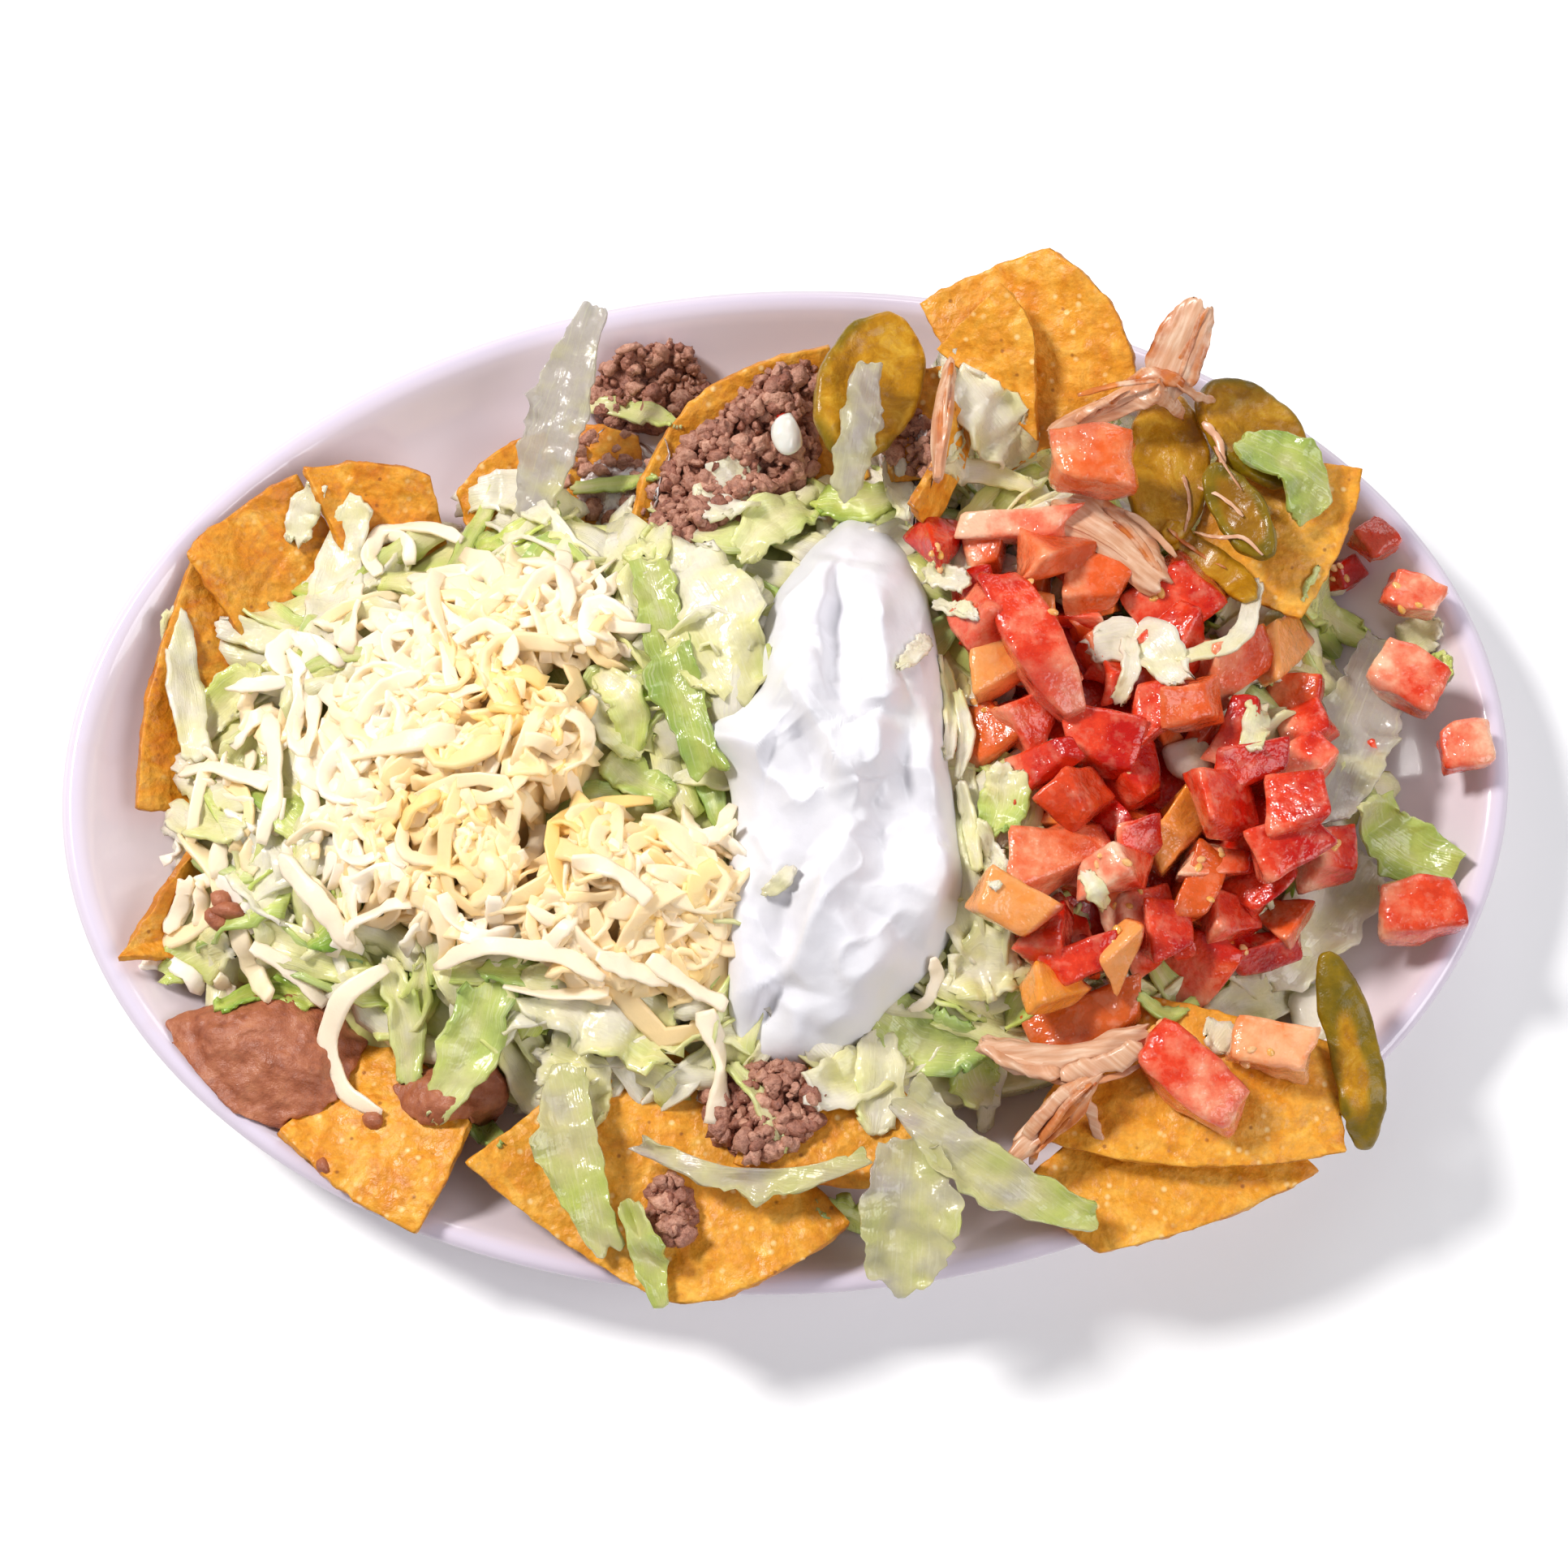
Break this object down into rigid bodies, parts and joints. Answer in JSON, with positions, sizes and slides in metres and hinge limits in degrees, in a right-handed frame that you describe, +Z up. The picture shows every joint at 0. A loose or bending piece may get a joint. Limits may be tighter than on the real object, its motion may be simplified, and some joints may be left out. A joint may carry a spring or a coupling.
{
  "type": "plate of loaded nachos",
  "caption": "Oval plate heaped with tortilla chips, shredded lettuce, beans, beef, chicken, cheese, sour cream, diced tomato and jalapeno slices.",
  "frame": {"origin": "centre of the plate's foot, on the surface that the plate stands on", "axes": "+X along the plate's long axis to the tomato end, +Y across the plate to the back, +Z up"},
  "size_m": [0.318, 0.2315, 0.0677],
  "materials": {
    "glaze": "glossy white glaze with a faint lilac tint",
    "corn": "fried corn tortilla, dull with a grainy skin",
    "beans": "mashed refried beans, moist",
    "beef": "browned ground beef, crumbly",
    "lettuce": "shredded iceberg lettuce, moist and slightly see-through",
    "leaf": "larger pieces of iceberg lettuce leaf",
    "cheese": "shredded white and pale yellow cheese",
    "sour_cream": "sour cream, soft sheen",
    "tomato": "diced ripe tomato, wet",
    "jalapeno": "pickled jalapeno, olive and glossy",
    "onion": "a chunk of raw white onion, wet",
    "chicken": "pulled chicken with red sauce at its edges"
  },
  "bodies": {
    "root": {"beef_at_front": "beef", "beef_in_shell": "beef", "beef_on_chip": "beef", "beef_on_plate": "beef", "cheese": "cheese", "chicken_back": "chicken", "chicken_corner": "chicken", "chicken_front": "chicken", "chicken_side": "chicken", "chicken_standing": "chicken", "chicken_thick": "chicken", "chip_back_left": "corn", "chip_back_mid": "corn", "chip_bottom": "corn", "chip_bottom_back": "corn", "chip_edge_on": "corn", "chip_high_back": "corn", "chip_high_front": "corn", "chip_left_small": "corn", "chip_left_tall": "corn", "chip_left_top": "corn", "chip_left_upper": "corn", "chip_lower_left": "corn", "chip_right": "corn", "chip_right_lower": "corn", "chip_right_upper": "corn", "chip_shell": "corn", "chip_top_small": "corn", "diced_tomato": "tomato", "jalapeno_big": "jalapeno", "jalapeno_long": "jalapeno", "jalapeno_low": "jalapeno", "jalapeno_round": "jalapeno", "jalapeno_strip": "jalapeno", "leaf_bright": "leaf", "leaf_centre_green": "leaf", "leaf_front_curl": "leaf", "leaf_front_long": "leaf", "leaf_front_narrow": "leaf", "leaf_front_right": "leaf", "leaf_front_thin": "leaf", "leaf_right_green": "leaf", "leaf_right_pale": "leaf", "leaf_standing": "leaf", "leaf_tall": "leaf", "lettuce": "lettuce", "onion_chunk": "onion", "plate": "glaze", "refried_beans": "beans", "refried_beans_small": "beans", "sour_cream": "sour_cream", "tomato_core": "tomato", "tomato_on_chip": "tomato", "tomato_orange": "tomato", "tomato_rim_back": "tomato", "tomato_rim_back_2": "tomato", "tomato_rim_edge": "tomato", "tomato_rim_front": "tomato", "tomato_rim_middle": "tomato", "tomato_wedge": "tomato"}
  },
  "joints": []
}
